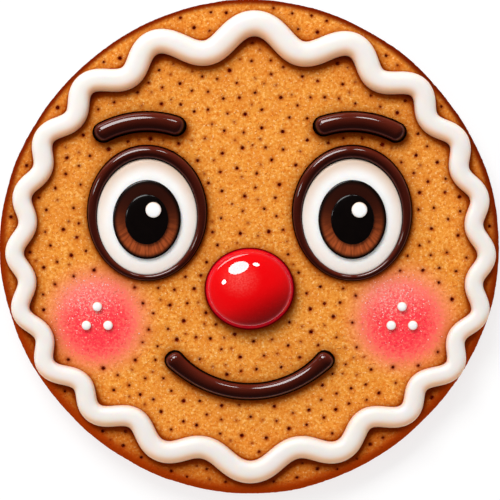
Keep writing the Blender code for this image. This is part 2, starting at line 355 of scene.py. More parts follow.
def border_line():
    line = []
    for step in range(WAVES * POINTS_PER_WAVE):
        angle = math.tau * step / (WAVES * POINTS_PER_WAVE)
        ends, up = math.cos(2 * angle), math.sin(angle)
        reach = BORDER_REACH + REACH_WIDER * ends + REACH_RIGHT * math.cos(angle) - REACH_LOWER * up
        reach -= WANDER_BY_FIVE * math.sin(5 * angle) + WANDER_BY_SIX * math.cos(6 * angle)
        depth = WAVE_DEPTH - DEPTH_AT_ENDS * ends + DEPTH_AT_TOP * up - DEPTH_BY_THREE * math.sin(3 * angle)
        phase = WAVES * angle + WAVE_START + WAVE_LEAN * math.cos(angle) + WAVE_RISE * up
        phase += WAVE_BUNCH * math.sin(2 * angle) - BUNCH_AT_CORNERS * math.sin(4 * angle)
        reach += depth * (math.cos(phase) - WAVE_ROUNDER * math.cos(3 * phase))
        reach += HAND_WANDER * hand_tremor(angle, 1.5)
        width = BORDER_WIDTH + WIDTH_AT_ENDS * (1 - ends) / 2 + WIDTH_AT_TOP * up
        width += HAND_WIDTH * hand_tremor(angle, 7.5)
        line.append((reach * math.cos(angle), reach * math.sin(angle), width))
    return line


# %% The lines of the face
def arc_line(centre, radius, span, steps, width, end_swell=0.0):
    """A piped arc with round ends. Points crowd towards the ends, where it rounds off."""
    start, stop = (math.radians(angle) for angle in span)
    length = radius * (stop - start)
    line = []
    for step in range(steps + 1):
        share = (1 - math.cos(math.pi * step / steps)) / 2
        full = width + end_swell * abs(2 * share - 1) ** 6
        inside = min(min(share, 1 - share) * length / ((width + end_swell) / 2), 1.0)
        local = full * max(math.sqrt(1 - (1 - inside) ** 2), 0.02)
        angle = start + (stop - start) * share
        line.append((centre[0] + radius * math.cos(angle), centre[1] + radius * math.sin(angle), local))
    return line


def node_oval(node):
    """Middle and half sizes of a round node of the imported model."""
    low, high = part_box(node)
    return (low + high) / 2, (high - low) / 2


SIDES = (("left", -1), ("right", 1))
BROW_RADIUS = 19.0 * MM
BROW_SPAN = (56.0, 114.0)
BROW_WIDTH = 4.3 * MM
MOUTH_CENTRE = (0.0, -8.0 * MM)
MOUTH_RADIUS = 21.0 * MM
MOUTH_SPAN = (-141.0, -39.0)
MOUTH_WIDTH = 3.5 * MM
MOUTH_END_SWELL = 1.2 * MM
RING_WIDTH = 1.4 * MM
RING_THICKER_TOP = 1.5 * MM
LINE_STEPS = 72
RING_POINTS = 96


def brow_line(side, sign):
    eye, _ = node_oval(f"eye_white_{side}")
    span = BROW_SPAN if sign > 0 else tuple(180.0 - angle for angle in reversed(BROW_SPAN))
    return arc_line(eye, BROW_RADIUS, span, LINE_STEPS, BROW_WIDTH)


def eye_ring_line(side):
    """The line just outside the white of the eye, heavier over the top."""
    eye, half = node_oval(f"eye_white_{side}")
    line = []
    for step in range(RING_POINTS):
        angle = math.tau * step / RING_POINTS
        width = RING_WIDTH + RING_THICKER_TOP * (1 + math.sin(angle)) / 2
        out = [side_reach + GAP + width / 2 for side_reach in half.xy]
        line.append((eye.x + out[0] * math.cos(angle), eye.y + out[1] * math.sin(angle), width))
    return line


border = border_line()
mouth = arc_line(MOUTH_CENTRE, MOUTH_RADIUS, MOUTH_SPAN, LINE_STEPS, MOUTH_WIDTH, MOUTH_END_SWELL)
brows = {side: brow_line(side, sign) for side, sign in SIDES}
eye_rings = {side: eye_ring_line(side) for side, _ in SIDES}
print(len(border), "points on the border,", len(mouth), "on the mouth")


# %% How far a point is from the icing
def distance_to_icing(x, y, with_dots=False):
    """Distance from points to the nearest icing or candy edge. It is negative underneath."""
    nearest = np.full(np.shape(x), 1.0)
    for line in (border, mouth, *brows.values(), *eye_rings.values()):
        for line_x, line_y, width in line:
            nearest = np.minimum(nearest, np.hypot(x - line_x, y - line_y) - width / 2)
    ovals = ["nose", "eye_white_left", "eye_white_right"]
    if with_dots:
        ovals += [f"cheek_dot_{side}_{number}" for side, _ in SIDES for number in (1, 2, 3)]
    for node in ovals:
        middle, half = node_oval(node)
        out = np.hypot((x - middle.x) / half.x, (y - middle.y) / half.y) - 1
        nearest = np.minimum(nearest, out * min(half.x, half.y))
    return nearest


print("the middle of the face is", round(float(distance_to_icing(0.0, 0.0)) / MM, 2), "mm from the icing")

# %% [markdown]
# ## Helpers for modelling
#
# Most pieces are turned: a round is laid down, then pushed up and scaled, again and
# again, as a potter raises a wall. The others are piped: a curve with a half-round bevel
# object swept along it. The width at each point is the curve's radius there.

# %% Helpers for modelling
def use_only(piece):
    """Selects one object alone, because an operator acts on all that is selected."""
    bpy.ops.object.select_all(action="DESELECT")
    piece.select_set(True)
    bpy.context.view_layer.objects.active = piece


def edit(piece):
    use_only(piece)
    bpy.ops.object.mode_set(mode="EDIT")


def stop_editing():
    bpy.ops.object.mode_set(mode="OBJECT")


def face_outward():
    """Turns every face of the piece in edit mode outward and stops editing."""
    bpy.ops.mesh.select_all(action="SELECT")
    bpy.ops.mesh.normals_make_consistent(inside=False)
    stop_editing()


def add_object(name, data):
    made = bpy.data.objects.new(name, data)
    bpy.context.scene.collection.objects.link(made)
    return made


def turned(name, centre, half_size, section, segments):
    """An oval piece raised through a section of (share of its reach, height), foot first."""
    reach, level = section[0]
    bpy.ops.mesh.primitive_circle_add(vertices=segments, radius=1.0, fill_type="NGON")
    piece = bpy.context.object
    piece.name = name
    edit(piece)
    bpy.ops.transform.resize(value=(half_size[0] * reach, half_size[1] * reach, 1), center_override=(0, 0, 0))
    bpy.ops.transform.translate(value=(centre[0], centre[1], level))
    for next_reach, next_level in section[1:]:
        bpy.ops.mesh.extrude_region_move(TRANSFORM_OT_translate={"value": (0, 0, next_level - level)})
        factor = next_reach / reach
        middle = (centre[0], centre[1], next_level)
        bpy.ops.transform.resize(value=(factor, factor, 1), center_override=middle)
        reach, level = next_reach, next_level
    face_outward()
    bpy.ops.object.shade_smooth_by_angle(angle=math.radians(50))
    return piece


def domed_section(foot, waist, top, bulge, steps=12):
    """Section of a poured drop: foot, waist and dome. A bulge of 2 is an ellipse."""
    section = [(0.93, foot), (0.985, (foot + waist) / 2)]
    for step in range(steps):
        turn = math.radians(90) * step / steps
        reach = math.cos(turn) ** (2 / bulge)
        section.append((reach, waist + (top - waist) * math.sin(turn) ** (2 / bulge)))
    section.append((0.03, top))
    return section


BEAD_WAIST = 0.3
BEAD_FOOT = -0.1
BEAD_SECTION_POINTS = 30


def full_wave(wave, fullness):
    """A sine or cosine bent so that an ellipse, at 2, gets fuller shoulders and a flatter top."""
    return math.copysign(abs(wave) ** (2 / fullness), wave)


def bead_section(height_share, fullness):
    """A bead's section for a width of 1: full above, tucked in at the foot."""
    curve = bpy.data.curves.new("bead_section", "CURVE")
    curve.dimensions = "2D"
    spline = curve.splines.new("POLY")
    rise = (1 - BEAD_WAIST) * height_share
    foot_drop = (BEAD_WAIST * height_share - BEAD_FOOT) / rise
    lowest = -math.asin(foot_drop ** (fullness / 2))
    spline.points.add(BEAD_SECTION_POINTS - 1)
    for index, point in enumerate(spline.points):
        turn = lowest + (math.pi - 2 * lowest) * index / (BEAD_SECTION_POINTS - 1)
        level = BEAD_WAIST * height_share + rise * full_wave(math.sin(turn), fullness)
        point.co = (0.5 * full_wave(math.cos(turn), fullness), level, 0, 1)
    spline.use_cyclic_u = True
    return add_object("bead_section", curve)


def piped(name, line, height_share, fullness, closed):
    """A bead of icing swept along a line of (x, y, width)."""
    curve = bpy.data.curves.new(name, "CURVE")
    curve.dimensions = "3D"
    curve.twist_mode = "Z_UP"
    spline = curve.splines.new("POLY")
    spline.points.add(len(line) - 1)
    for point, (x, y, width) in zip(spline.points, line):
        point.co = (x, y, top_height(x, y), 1)
        point.radius = width
    spline.use_cyclic_u = closed
    section = bead_section(height_share, fullness)
    curve.bevel_mode = "OBJECT"
    curve.bevel_object = section
    curve.use_fill_caps = not closed
    piece = add_object(name, curve)
    use_only(piece)
    bpy.ops.object.convert(target="MESH")
    bpy.data.objects.remove(section)
    edit(piece)
    bpy.ops.mesh.select_all(action="SELECT")
    bpy.ops.mesh.remove_doubles(threshold=0.001 * MM)
    face_outward()
    bpy.ops.object.shade_smooth_by_angle(angle=math.radians(50))
    return piece


def finish_piece(piece, finish, slot, *nodes):
    """Gives a piece its finish and its place in the model, and hides the nodes that it stands for."""
    piece.data.materials.clear()
    piece.data.materials.append(finish)
    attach(piece, "root")
    if nodes:
        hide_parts(*nodes)
    triangles = sum(len(face.vertices) - 2 for face in piece.data.polygons)
    print(piece.name, "has", triangles, "triangles")


# %% [markdown]
# ## The biscuit
#
# In the oven the dough spreads a little, its top edge rounds over, and its underside
# stays flat on the tray. We raise it from its underside as one turned piece. Its top is
# then opened and filled again with a square grid, since a crumb needs faces of even size,
# which a fan of long triangles from the middle doesn't have.

# %% Raise the biscuit
RIM_POINTS = 1024
EDGE_STEPS = 7


def biscuit_section():
    section = []
    for step in range(4):
        turn = math.radians(90) * step / 3
        section.append((BOTTOM_EDGE * (1 - math.sin(turn)), BOTTOM_EDGE * (1 - math.cos(turn))))
    for step in range(EDGE_STEPS + 1):
        turn = math.radians(90) * step / EDGE_STEPS
        inset = TOP_EDGE_WIDTH * (1 - math.cos(turn))
        section.append((inset, TOP - TOP_EDGE_DROP * (1 - math.sin(turn))))
    return [(1 - inset / BISCUIT_RADIUS, level) for inset, level in section]


biscuit = turned("baked_biscuit", (0, 0), (BISCUIT_RADIUS, BISCUIT_RADIUS), biscuit_section(), RIM_POINTS)
edit(biscuit)
bpy.ops.mesh.select_mode(type="FACE")
bpy.ops.mesh.select_all(action="DESELECT")
stop_editing()
for face in biscuit.data.polygons:
    face.select = face.center.z > TOP - 0.01 * MM
bpy.ops.object.mode_set(mode="EDIT")
bpy.ops.mesh.delete(type="ONLY_FACE")
bpy.ops.mesh.select_mode(type="EDGE")
bpy.ops.mesh.select_non_manifold(
    extend=False, use_wire=False, use_multi_face=False, use_non_contiguous=False, use_verts=False
)
bpy.ops.mesh.fill_grid(span=RIM_POINTS // 4)
face_outward()
print("the biscuit has", len(biscuit.data.polygons), "faces")

# %% [markdown]
# The dough didn't spread quite evenly, so every point moves out or in with the angle.
# This is one line of arithmetic on all points at once.

# %% Spread the dough
def mesh_points(piece):
    points = np.empty(len(piece.data.vertices) * 3, np.float32)
    piece.data.vertices.foreach_get("co", points)
    return points.reshape(-1, 3).astype(float)


def move_points(piece, points):
    piece.data.vertices.foreach_set("co", points.astype(np.float32).ravel())
    piece.data.update()


points = mesh_points(biscuit)
points[:, :2] *= outline_stretch(np.arctan2(points[:, 1], points[:, 0]))[:, None]
move_points(biscuit, points)
print("widest in mm:", round((points[:, 0].max() - points[:, 0].min()) / MM, 1))

# %% [markdown]
# ## Docker pits
#
# A docker is a roller of blunt pins that let steam out, so that the round bakes flat.
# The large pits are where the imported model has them: each has a small ring of points at
# its floor. The finer pricks and faint marks between them are thrown at random, one at a
# time, and kept only where they fit, which spreads them evenly.

# %% Find the large pits and throw the fine ones
PIT_DEPTH = 1.2 * MM
PIT_TAPER = 0.45
PIT_REACH = 0.6 * MM
PRICK_SEED = 5
PRICK_TRIES = 7000
PRICK_SPACING = 2.75 * MM
PRICK_TO_ICING = 1.0 * MM
PRICK_RADIUS = (0.19 * MM, 0.27 * MM)
PRICK_DEPTH = (0.55 * MM, 0.9 * MM)
MARK_TRIES = 1300
MARK_SPACING = 1.9 * MM
MARK_RADIUS = (0.14 * MM, 0.2 * MM)
MARK_DEPTH = (0.1 * MM, 0.2 * MM)
CHEEK_CENTRE = (30.5 * MM, -14.5 * MM)
CHEEK_BARE_RADIUS = 9.6 * MM


def packed_pits():
    """(x, y, radius, depth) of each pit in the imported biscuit."""
    corners = np.array([vertex.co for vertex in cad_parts["biscuit"].data.vertices])
    floors = corners[np.abs(corners[:, 2] - (TOP - PIT_DEPTH)) < 0.02 * MM, :2]
    floors = np.unique(np.round(floors / MM, 3), axis=0) * MM
    pits = []
    while len(floors):
        near = np.hypot(*(floors - floors[0]).T) < PIT_REACH
        middle = floors[near].mean(axis=0)
        radius = np.hypot(*(floors[near] - middle).T).mean() / PIT_TAPER
        pits.append((*middle, radius, PIT_DEPTH))
        floors = floors[~near]
    return pits


def distance_to_cheek(x, y):
    """Distance from points to the middle of the nearer cheek."""
    return np.hypot(np.abs(x) - CHEEK_CENTRE[0], y - CHEEK_CENTRE[1])


def throw_pricks(taken, tries, spacing, radii, depths):
    """Pricks that keep their distance from those taken, from the icing, the rim and the cheeks."""
    spots = np.array([[dice.uniform(-BISCUIT_RADIUS, BISCUIT_RADIUS) for _ in "xy"] for _ in range(tries)])
    x, y = spots.T
    clear = distance_to_icing(x, y, with_dots=True) > PRICK_TO_ICING
    clear &= distance_to_rim(x, y) > TOP_EDGE_WIDTH
    clear &= distance_to_cheek(x, y) > CHEEK_BARE_RADIUS
    pricks = []
    for x, y in spots[clear]:
        if all(math.hypot(x - other[0], y - other[1]) > spacing for other in taken + pricks):
            pricks.append((x, y, dice.uniform(*radii), dice.uniform(*depths)))
    return pricks


dice = random.Random(PRICK_SEED)
pits = packed_pits()
pricks = throw_pricks(pits, PRICK_TRIES, PRICK_SPACING, PRICK_RADIUS, PRICK_DEPTH)
marks = throw_pricks(pits + pricks, MARK_TRIES, MARK_SPACING, MARK_RADIUS, MARK_DEPTH)
print(len(pits), "docker pits,", len(pricks), "fine pricks and", len(marks), "faint marks")

# %% [markdown]
# The pins are tapered cones, all in one mesh, and one Boolean presses them all in. It
# also leaves a few shallow blisters in the underside, where air was caught on the tray.

# %% Press in the pins
PIN_SIDES = 12
PIN_ABOVE = 0.4 * MM
BLISTERS = 70
BLISTER_SEED = 9
BLISTER_RADIUS = (0.4 * MM, 1.1 * MM)
BLISTER_SINK = 0.75

bpy.ops.mesh.primitive_cone_add(vertices=PIN_SIDES, radius1=MM, radius2=MM, depth=MM, location=(0, 0, 1))
pins = bpy.context.object
edit(pins)
bpy.ops.mesh.delete(type="VERT")
for x, y, radius, depth in pits + pricks + marks:
    length = depth + PIN_ABOVE
    tip = radius * PIT_TAPER
    head = tip + (radius - tip) * length / depth
    middle = (x, y, TOP + PIN_ABOVE - length / 2)
    bpy.ops.mesh.primitive_cone_add(
        vertices=PIN_SIDES, radius1=tip, radius2=head, depth=length, location=middle
    )
dice = random.Random(BLISTER_SEED)
for _ in range(BLISTERS):
    out, turn = BISCUIT_RADIUS * 0.93 * math.sqrt(dice.random()), dice.uniform(0, math.tau)
    radius = dice.uniform(*BLISTER_RADIUS)
    middle = (out * math.cos(turn), out * math.sin(turn), -radius * BLISTER_SINK)
    bpy.ops.mesh.primitive_uv_sphere_add(segments=12, ring_count=8, radius=radius, location=middle)
stop_editing()

use_only(biscuit)
press = biscuit.modifiers.new("Pins", "BOOLEAN")
press.operation = "DIFFERENCE"
press.solver = "MANIFOLD"
press.object = pins
bpy.ops.object.modifier_apply(modifier="Pins")
bpy.data.objects.remove(pins)
print("after the pins:", len(biscuit.data.polygons), "faces")

# %% [markdown]
# ## Crumb and soft edges
#
# A baked top puffs up and settles over a centimetre, and it has a sandy crumb of about
# half a millimetre. Both are Displace modifiers with a cloud texture, applied, so the
# relief is in the mesh. Where a pin went in, the dough was dragged down a little. The
# tray kept the underside flat, so its points go back to the table's level.

# %% Puff, crumb and dragged edges
def displace(piece, name, lump, height):
    texture = bpy.data.textures.new(name, "CLOUDS")
    texture.noise_scale = lump
    texture.noise_depth = 1
    layer = piece.modifiers.new(name, "DISPLACE")
    layer.texture = texture
    layer.texture_coords = "LOCAL"
    layer.strength = height
    layer.mid_level = 0.5
    use_only(piece)
    bpy.ops.object.modifier_apply(modifier=name)


def distance_to_pits(x, y, holes):
    """Distance from points to the nearest pit's edge, and that pit's depth."""
    nearest = np.full(x.shape, 1.0)
    depth = np.zeros(x.shape)
    for hole_x, hole_y, radius, hole_depth in holes:
        away = np.hypot(x - hole_x, y - hole_y) - radius
        closer = away < nearest
        nearest = np.where(closer, away, nearest)
        depth = np.where(closer, hole_depth, depth)
    return nearest, depth


PUFF = (9.0 * MM, 0.35 * MM)
CRUMB = (0.62 * MM, 0.17 * MM)
DRAG_REACH = 0.3 * MM
DRAG_SHARE = 0.06
SURFACE_SLACK = 0.02 * MM

points = mesh_points(biscuit)
underside = points[:, 2] < 0.01 * MM
away, depth = distance_to_pits(points[:, 0], points[:, 1], pits + pricks + marks)
on_top = points[:, 2] > top_height(points[:, 0], points[:, 1]) - SURFACE_SLACK
drag = DRAG_SHARE * depth * np.exp(-((np.maximum(away, 0) / DRAG_REACH) ** 2))
points[:, 2] -= np.where(on_top, drag, 0.0)
move_points(biscuit, points)
displace(biscuit, "puff", *PUFF)
displace(biscuit, "crumb", *CRUMB)
points = mesh_points(biscuit)
points[underside, 2] = 0.0
move_points(biscuit, points)
print("drag at most", round(float(drag.max() / MM), 2), "mm")

# %% [markdown]
# ## Painting the bake
#
# The rim and the underside brown most, a broad band inside the rim less. Towards the foot
# of the face the rim and the band are painted wider and darker, which is painted shade.
# The pits are dark inside and darker round their edges. Painted shade darkens the crumb
# close to the icing and the nose, with a painted shadow below them, and pink dust lies on
# the cheeks under a frost of fine sugar. Each is a number from 0 to 1, painted on every
# point of the mesh. The material mixes its colours by them, so they can be tuned later.

# %% Paint the biscuit
def smooth_step(value, low, high):
    share = np.clip((value - low) / (high - low), 0.0, 1.0)
    return share * share * (3 - 2 * share)


def paint(piece, name, values):
    layer = piece.data.attributes.new(name, "FLOAT", "POINT")
    layer.data.foreach_set("value", np.clip(values, 0, 1).astype(np.float32))


def icing_close_by(x, y):
    """How much icing is near a point: 1 beside the straight border, more inside a bend, 0 far away."""
    total = np.zeros(np.shape(x))
    lines = [(border, 1.0), (mouth, STROKE_SHADE)] + [(line, STROKE_SHADE) for line in brows.values()]
    lines += [(line, RING_SHADE) for line in eye_rings.values()]
    for line, share in lines:
        middles = np.array(line)
        steps = np.hypot(*np.diff(middles[:, :2], axis=0, append=middles[:1, :2]).T)
        # An open line doesn't run on from its end to its start
        steps[steps > MM] = 0.0
        full = share / math.sqrt(math.pi * middles[:, 2].max() * SHADE_REACH)
        for (line_x, line_y, width), step in zip(line, steps):
            away = np.maximum(np.hypot(x - line_x, y - line_y) - width / 2, 0)
            total += full * step * np.exp(-away / SHADE_REACH)
    return total


def candy_close_by(x, y):
    """1 against the nose, 0 a little away from it."""
    middle, half = node_oval("nose")
    away = (np.hypot((x - middle.x) / half.x, (y - middle.y) / half.y) - 1) * half.y
    return np.exp(-np.maximum(away, 0) / NOSE_SHADE_REACH)


# The rim and the band are browning, painted wider and darker towards the foot of the face as painted shade.
RIM_FULL = 0.45 * MM
RIM_FADE = (1.25 * MM, 0.9 * MM)
BAND_REACH = 9.0 * MM
BAND_AT_TOP = 0.1
BAND_AND_SHADE_AT_FOOT = 0.75
# Painted shade round the icing and the nose, and its painted shadow down the face.
SHADE_REACH = 0.7 * MM
SHADOW_DROP = (-0.25 * MM, 0.9 * MM)
SHADE_SCALE = 0.35
STROKE_SHADE = 0.75
RING_SHADE = 0.75
NOSE_SHADE = (0.32, 0.3)
NOSE_SHADE_REACH = 0.55 * MM
PIT_RING_REACH = 0.32 * MM
MARK_RING = 0.8
BLUSH_GONE = 13.2 * MM
BLUSH_SINK = 0.8 * MM
FROST_MIDDLE = (-1.5 * MM, 4.2 * MM)
FROST_REACH = (8.2 * MM, 5.2 * MM)
FROST_FULL = 0.5


def paint_bake(piece):
    """Paints browning, painted shade and shadow near the icing and nose, pit rings and pink dust."""
    x, y, z = mesh_points(piece).T
    to_rim = distance_to_rim(x, y)
    lowness = (1 - y / np.maximum(np.hypot(x, y), MM)) / 2
    # The rim reaches further in towards the foot of the face: painted shade.
    rim_end = RIM_FULL + RIM_FADE[0] + RIM_FADE[1] * smooth_step(lowness, 0.2, 0.9)
    side = 1 - smooth_step(z, 1.0 * MM, TOP - TOP_EDGE_DROP)
    paint(piece, "rim", np.maximum(1 - smooth_step(to_rim, RIM_FULL, rim_end), side))
    # The band is browning, much heavier towards the foot of the face, where it is painted shade.
    band = BAND_AT_TOP + (BAND_AND_SHADE_AT_FOOT - BAND_AT_TOP) * smooth_step(lowness, 0.05, 0.95)
    paint(piece, "band", band * (1 - smooth_step(to_rim, 0.0, BAND_REACH)))
    # Painted shade near the icing and the nose, and a painted shadow: the same shade moved down the face.
    drop_x, drop_y = x + SHADOW_DROP[0], y + SHADOW_DROP[1]
    icing_shade = SHADE_SCALE * (icing_close_by(x, y) + icing_close_by(drop_x, drop_y))
    icing_shade += NOSE_SHADE[0] * candy_close_by(x, y) + NOSE_SHADE[1] * candy_close_by(drop_x, drop_y)
    paint(piece, "icing_shade", np.where(z > TOP - 2 * MM, icing_shade, 0.0))
    away, _ = distance_to_pits(x, y, pits + pricks)
    away_marks, _ = distance_to_pits(x, y, marks)
    # Darker round each pit and, a little less, round each faint mark.
    pit_ring = np.exp(-np.maximum(away, 0) / PIT_RING_REACH)
    pit_ring = np.maximum(pit_ring, MARK_RING * np.exp(-np.maximum(away_marks, 0) / PIT_RING_REACH))
    paint(piece, "pit_ring", np.where(z > MM, pit_ring, 0.0))
    blush = 1 - smooth_step(distance_to_cheek(x, y), 0.0, BLUSH_GONE)
    full = 1 - smooth_step(distance_to_cheek(x, y + BLUSH_SINK), 0.0, BLUSH_GONE)
    paint(piece, "blush", np.where(z > TOP - MM, blush, 0.0))
    paint(piece, "full_blush", np.where(z > TOP - MM, full, 0.0))
    frost = np.zeros(x.shape)
    for _, sign in SIDES:
        across = (x - sign * CHEEK_CENTRE[0] - FROST_MIDDLE[0]) / FROST_REACH[0]
        along = (y - CHEEK_CENTRE[1] - FROST_MIDDLE[1]) / FROST_REACH[1]
        frost += FROST_FULL * (1 - smooth_step(np.hypot(across, along), 0.1, 1.0))
    paint(piece, "frost", np.where(z > TOP - MM, frost, 0.0))


paint_bake(biscuit)
print("painted", len(biscuit.data.vertices), "points")

# %% [markdown]
# ## Gingerbread
#
# A golden crumb of pale and dark grains with cloudy patches comes first. Then the painted
# layers go on, each through its own mask: pink dust, which breaks up at its edge, and
# browning and painted shade, which tint the crumb and leave its grain. The rim's colour is
# painted lighter below than above, as painted light against the softbox's shade there.
# The bake is dry, so it has no shine at all. The finest grains are a bump.

# %% The gingerbread's finish
CRUMB_PALE = srgb(252, 190, 108)
CRUMB_GOLD = srgb(236, 150, 56)
CRUMB_DARK = srgb(218, 116, 32)
SUGAR_SPECK = srgb(255, 220, 162)
BROWNING_AND_SHADE = srgb(182, 78, 6)
# The rim is painted lighter below than above: painted light that makes up for the softbox's shade on the
# lower rim.
RIM_ABOVE = srgb(110, 26, 2)
RIM_BELOW = srgb(176, 58, 5)
PAINTED_SHADE = srgb(160, 70, 6)
PAINTED_SHADE_DEEP = srgb(104, 28, 4)
PIT_RING_TONE = srgb(154, 46, 4)
PIT_FLOOR = srgb(196, 56, 18)
DUST_THIN = srgb(250, 126, 108)
DUST_FULL = srgb(251, 58, 72)
DUST_FROST = srgb(255, 176, 164)
PIT_DARK_FROM, PIT_DARK_FULL = TOP - 0.3 * MM, TOP - 0.8 * MM

gingerbread, tree, shader = start_material("baked_gingerbread", 0.8, 0.0)
fine = grain(tree, 0.62 * MM, detail=4.0, roughness=0.62)
patchy = grain(tree, 4.0 * MM, detail=3.0)
flecks = grain(tree, 0.5 * MM, detail=1.0)
broken = ramp(tree, fine, 0.3, 0.7, 0.75, 1.25)
thin_dust = calculate(tree, "MULTIPLY", painted(tree, "blush"), broken)
full_dust = calculate(tree, "MULTIPLY", painted(tree, "full_blush"), broken)
dust_tone = lay_over(tree, ramp(tree, flecks, 0.45, 0.72, 0.0, 0.55), DUST_FULL, DUST_THIN)
frost = calculate(tree, "MULTIPLY", painted(tree, "frost"), ramp(tree, flecks, 0.42, 0.66, 0.25, 1.0))
tone = layers(
    tree,
    CRUMB_DARK,
    (ramp(tree, fine, 0.32, 0.5), CRUMB_GOLD),
    (ramp(tree, fine, 0.5, 0.7), CRUMB_PALE),
    (ramp(tree, patchy, 0.4, 0.7, 0.0, 0.35), CRUMB_DARK),
    (ramp(tree, flecks, 0.64, 0.74, 0.0, 0.6), SUGAR_SPECK),
    (ramp(tree, thin_dust, 0.0, 0.45, 0.0, 0.95, "LINEAR"), DUST_THIN),
    (ramp(tree, full_dust, 0.18, 0.8), dust_tone),
    (frost, DUST_FROST),
)

axes = split(tree, object_place(tree))
rim, icing_shade, pit_ring = [painted(tree, name) for name in ("rim", "icing_shade", "pit_ring")]
# Painted light: the rim's colour is lighter below, against the softbox's shade there.
rim_tone = lay_over(tree, ramp(tree, axes["Y"], 30 * MM, -45 * MM), RIM_ABOVE, RIM_BELOW)
deep = ramp(tree, axes["Z"], PIT_DARK_FROM, PIT_DARK_FULL)
in_pit = calculate(tree, "MULTIPLY", deep, ramp(tree, pit_ring, 0.3, 0.9))
# Browning near the rim, with painted shade towards the foot of the face.
tone = tint_crumb(tree, painted(tree, "band"), tone, BROWNING_AND_SHADE)
# Darker round each pit and mark.
tone = tint_crumb(tree, ramp(tree, pit_ring, 0.05, 1.0, 0.0, 0.9, "LINEAR"), tone, PIT_RING_TONE)
# Painted shade near the icing and the nose, with its painted shadow, deepest close by.
tone = tint_crumb(tree, ramp(tree, icing_shade, 0.0, 0.5, between="LINEAR"), tone, PAINTED_SHADE)
tone = lay_over(tree, ramp(tree, icing_shade, 0.35, 1.0, between="LINEAR"), tone, PAINTED_SHADE_DEEP)
tone = tint_crumb(tree, rim, tone, BROWNING_AND_SHADE)
tone = layers(tree, tone, (rim, rim_tone), (in_pit, PIT_FLOOR))
set_surface(tree, shader, tone, fine, 0.12 * MM, 0.4)
finish_piece(biscuit, gingerbread, "gingerbread", "biscuit")

# %% [markdown]
# ## Crumb grains and sanding sugar
#
# Crumbs of the bake lie all over, and coarse sanding sugar on the cheeks, most of it on
# their upper left. Each grain is modelled once, as a flattened ball or a soft cube. Then
# it is copied many times into one mesh, each copy turned and sized a little differently
# and set down where a ray from above meets the biscuit.

# %% Strew grains
def strew(name, model, places, flatten):
    """Joined copies of a small model. A place is (x, y, radius, sunk share)."""
    corners = mesh_points(model)
    faces = [tuple(face.vertices) for face in model.data.polygons]
    all_corners, all_faces = [], []
    dice = random.Random(len(places))
    for x, y, radius, sunk in places:
        hit, spot, _, _ = biscuit.ray_cast((x, y, 2 * TOP), (0, 0, -1))
        if not hit or spot.z < TOP - MM:
            continue
        turn = Euler([dice.uniform(-flatten[1], flatten[1]) for _ in "xy"] + [dice.uniform(0, math.tau)])
        shape = corners * (radius, radius * dice.uniform(0.75, 1.0), radius * flatten[0])
        shape = shape @ np.array(turn.to_matrix()).T
        shape += (x, y, spot.z + radius * flatten[0] * (1 - 2 * sunk))
        all_faces += [tuple(corner + len(all_corners) * len(corners) for corner in face) for face in faces]
        all_corners.append(shape)
    mesh = bpy.data.meshes.new(name)
    mesh.from_pydata(np.concatenate(all_corners).tolist(), [], all_faces)
    piece = add_object(name, mesh)
    bpy.data.objects.remove(model)
    print(name, "has", len(all_corners), "grains")
    return piece


GRAIN_SEED = 21
GRAIN_TRIES = 9000
GRAIN_RADIUS = (0.12 * MM, 0.27 * MM)
GRAIN_FLATTEN = (0.62, 0.3)

dice = random.Random(GRAIN_SEED)
tries = np.array([[dice.uniform(-BISCUIT_RADIUS, BISCUIT_RADIUS) for _ in "xy"] for _ in range(GRAIN_TRIES)])
clear = distance_to_icing(tries[:, 0], tries[:, 1], with_dots=True) > 0.1 * MM
clear &= distance_to_rim(tries[:, 0], tries[:, 1]) > 0.6 * MM
clear &= distance_to_pits(tries[:, 0], tries[:, 1], pits + pricks + marks)[0] > 0.25 * MM
crumbs = [(x, y, dice.uniform(*GRAIN_RADIUS), dice.uniform(0.55, 0.8)) for x, y in tries[clear]]
bpy.ops.mesh.primitive_ico_sphere_add(subdivisions=1, radius=1.0)
bpy.ops.object.shade_smooth()
crumb_piece = strew("crumb_grains", bpy.context.object, crumbs, GRAIN_FLATTEN)
use_only(crumb_piece)
bpy.ops.object.shade_smooth()
paint_bake(crumb_piece)
finish_piece(crumb_piece, gingerbread, "gingerbread")

# %% Sprinkle the sanding sugar
SUGAR_SEED = 8
SUGAR_TRIES = 620
SUGAR_SIZE = (0.04 * MM, 0.12 * MM)
SUGAR_REACH = 9.5 * MM
SUGAR_MIDDLE = (-1.8 * MM, 2.6 * MM)

sugar_places = []
dice = random.Random(SUGAR_SEED)
for _, sign in SIDES:
    for _ in range(SUGAR_TRIES):
        x = sign * CHEEK_CENTRE[0] + dice.gauss(SUGAR_MIDDLE[0], SUGAR_REACH * 0.42)
        y = CHEEK_CENTRE[1] + dice.gauss(SUGAR_MIDDLE[1], SUGAR_REACH * 0.36)
        size = SUGAR_SIZE[0] + (SUGAR_SIZE[1] - SUGAR_SIZE[0]) * dice.random() ** 4
        on_cheek = distance_to_cheek(x, y) < SUGAR_REACH
        if on_cheek and distance_to_icing(x, y, with_dots=True) > 2 * size:
            sugar_places.append((x, y, size, dice.uniform(0.3, 0.5)))
bpy.ops.mesh.primitive_cube_add(size=2.0)
crystal = bpy.context.object
edit(crystal)
bpy.ops.mesh.bevel(offset=0.35, segments=1, affect="EDGES")
stop_editing()
sugar_piece = strew("sanding_sugar", crystal, sugar_places, (0.8, 0.6))

